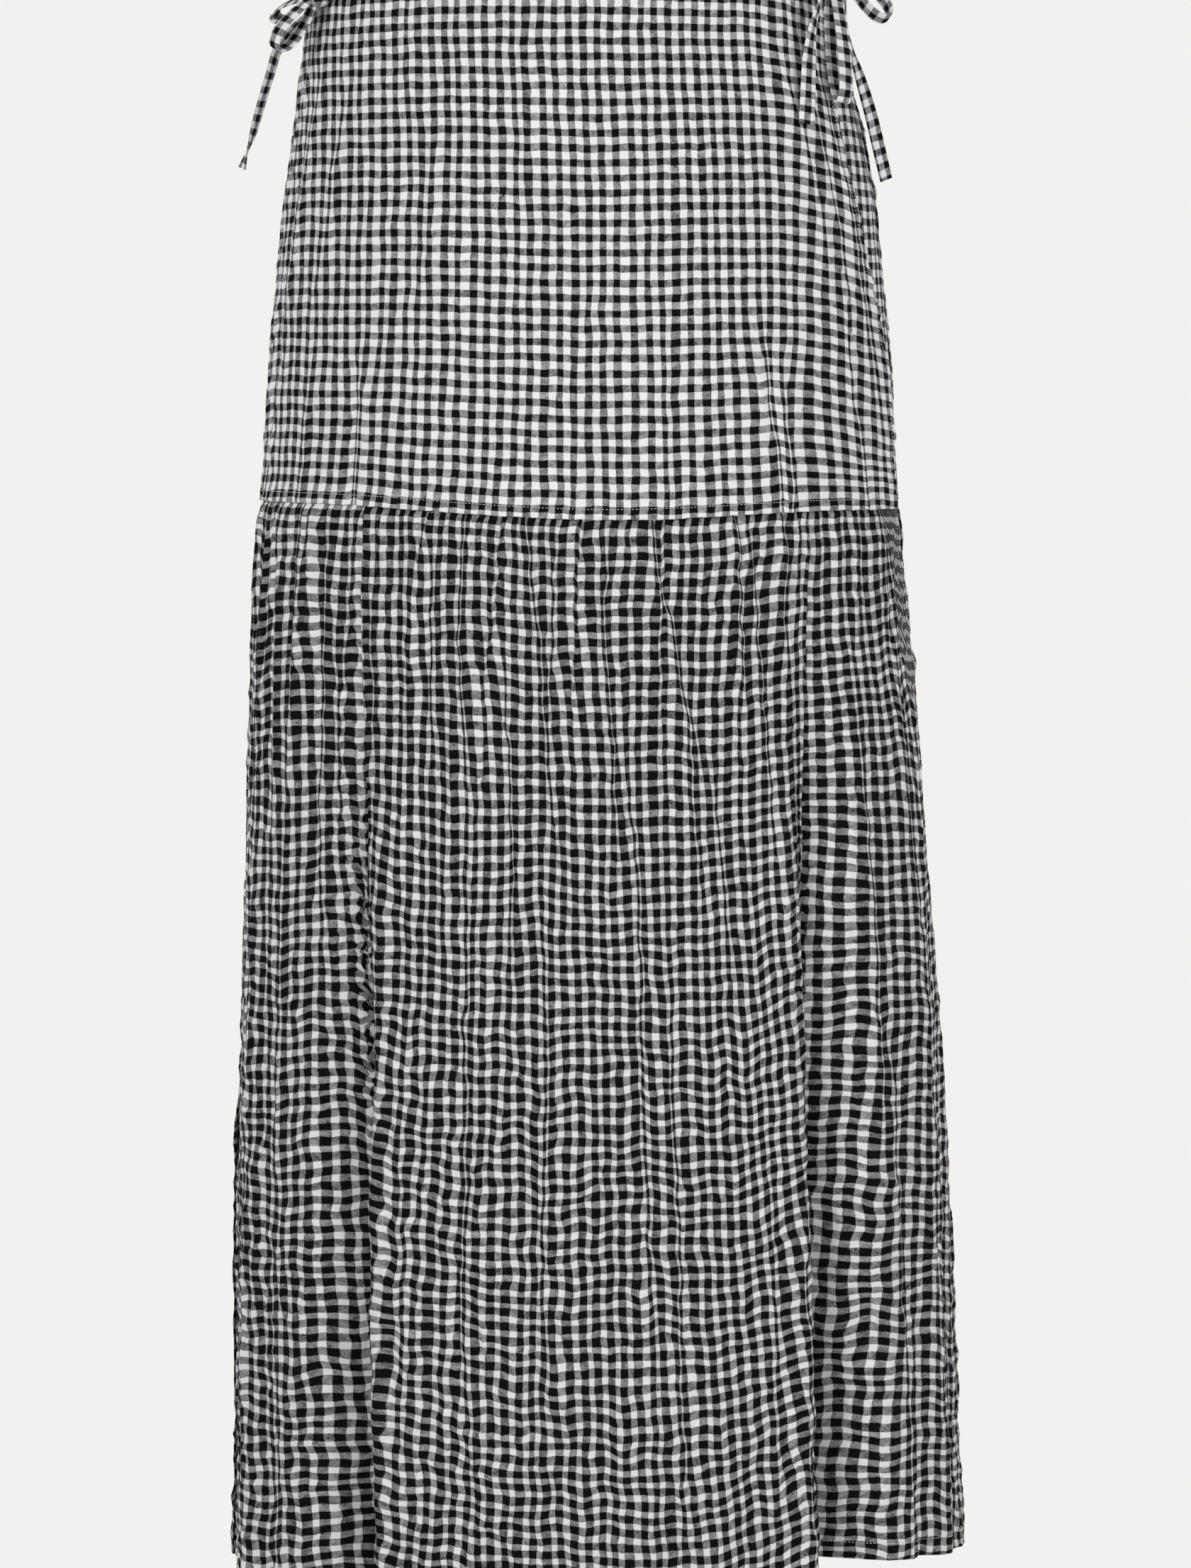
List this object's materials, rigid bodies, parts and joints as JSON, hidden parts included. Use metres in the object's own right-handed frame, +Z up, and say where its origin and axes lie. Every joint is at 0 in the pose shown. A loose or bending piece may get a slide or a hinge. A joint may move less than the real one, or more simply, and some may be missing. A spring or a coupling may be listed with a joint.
{
  "type": "wrap maxi skirt",
  "caption": "Long wrap skirt, worn and hollow: waistband, smooth yoke, gathered lower tier and a tied bow at each side of the waist.",
  "frame": {"origin": "the middle of the waist at the waistband's top, where the wearer holds the skirt", "axes": "+Z up, the skirt's front faces -Y, +X towards the free edge of the wrap"},
  "size_m": [0.4346, 0.3321, 0.967],
  "materials": {
    "gingham_cotton": "matt crinkled cotton in black and white checks"
  },
  "bodies": {
    "root": {"bow_left_knot": "gingham_cotton", "bow_left_loop_back": "gingham_cotton", "bow_left_loop_front": "gingham_cotton", "bow_left_strap_back": "gingham_cotton", "bow_left_strap_front": "gingham_cotton", "bow_left_tail_back": "gingham_cotton", "bow_left_tail_front": "gingham_cotton", "bow_right_knot": "gingham_cotton", "bow_right_loop_front": "gingham_cotton", "bow_right_loop_outer": "gingham_cotton", "bow_right_strap_back": "gingham_cotton", "bow_right_strap_front": "gingham_cotton", "bow_right_tail_front": "gingham_cotton", "bow_right_tail_side": "gingham_cotton", "tier_back_centre": "gingham_cotton", "tier_back_left": "gingham_cotton", "tier_back_right": "gingham_cotton", "tier_front_centre": "gingham_cotton", "tier_front_left": "gingham_cotton", "tier_front_right": "gingham_cotton", "tier_under_front": "gingham_cotton", "waistband_back": "gingham_cotton", "waistband_outer_front": "gingham_cotton", "waistband_under_front": "gingham_cotton", "yoke_back": "gingham_cotton", "yoke_outer_front": "gingham_cotton", "yoke_under_front": "gingham_cotton"}
  },
  "joints": []
}
